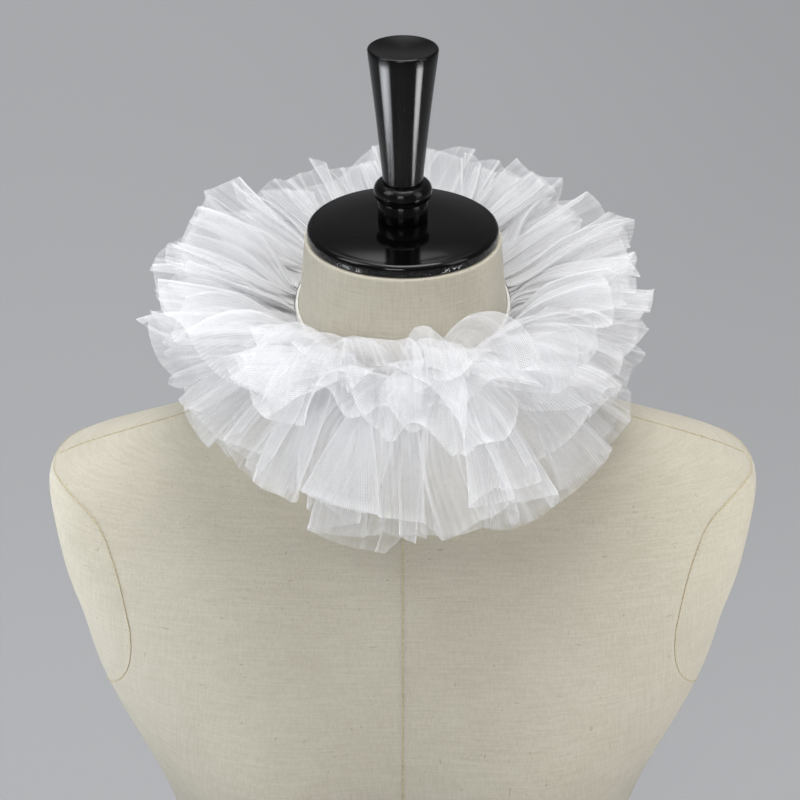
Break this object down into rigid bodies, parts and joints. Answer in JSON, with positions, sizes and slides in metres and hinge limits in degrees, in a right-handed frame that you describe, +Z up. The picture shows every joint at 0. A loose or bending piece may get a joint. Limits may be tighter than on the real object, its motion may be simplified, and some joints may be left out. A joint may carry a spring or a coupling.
{
  "type": "tulle ruff collar on a dress form",
  "caption": "Gathered white tulle ruff collar, its pleated frills standing above and below a narrow neck band, worn on a limbless linen dress form with a black turned cap and handle.",
  "frame": {"origin": "centre of the dress form's flat underside, below the middle of the neck", "axes": "+Z up along the neck, -Y the front of the form, +X its left shoulder (the viewer's right)"},
  "size_m": [0.387, 0.2599, 0.7566],
  "materials": {
    "linen": "matt, unbleached plain weave, stretched and sewn over padding",
    "black_lacquer": "turned wood under glossy black lacquer, finely scratched",
    "band_tape": "matt woven tape",
    "white_net": "soft hexagonal net, white, sheer in one layer and opaque in many"
  },
  "bodies": {
    "root": {"dress_form": "linen", "neck_cap": "black_lacquer", "cap_handle": "black_lacquer", "neck_band": "band_tape", "upper_frill_1": "white_net", "upper_frill_2": "white_net", "upper_frill_3": "white_net", "lower_frill_1": "white_net", "lower_frill_2": "white_net", "lower_frill_3": "white_net"}
  },
  "joints": []
}
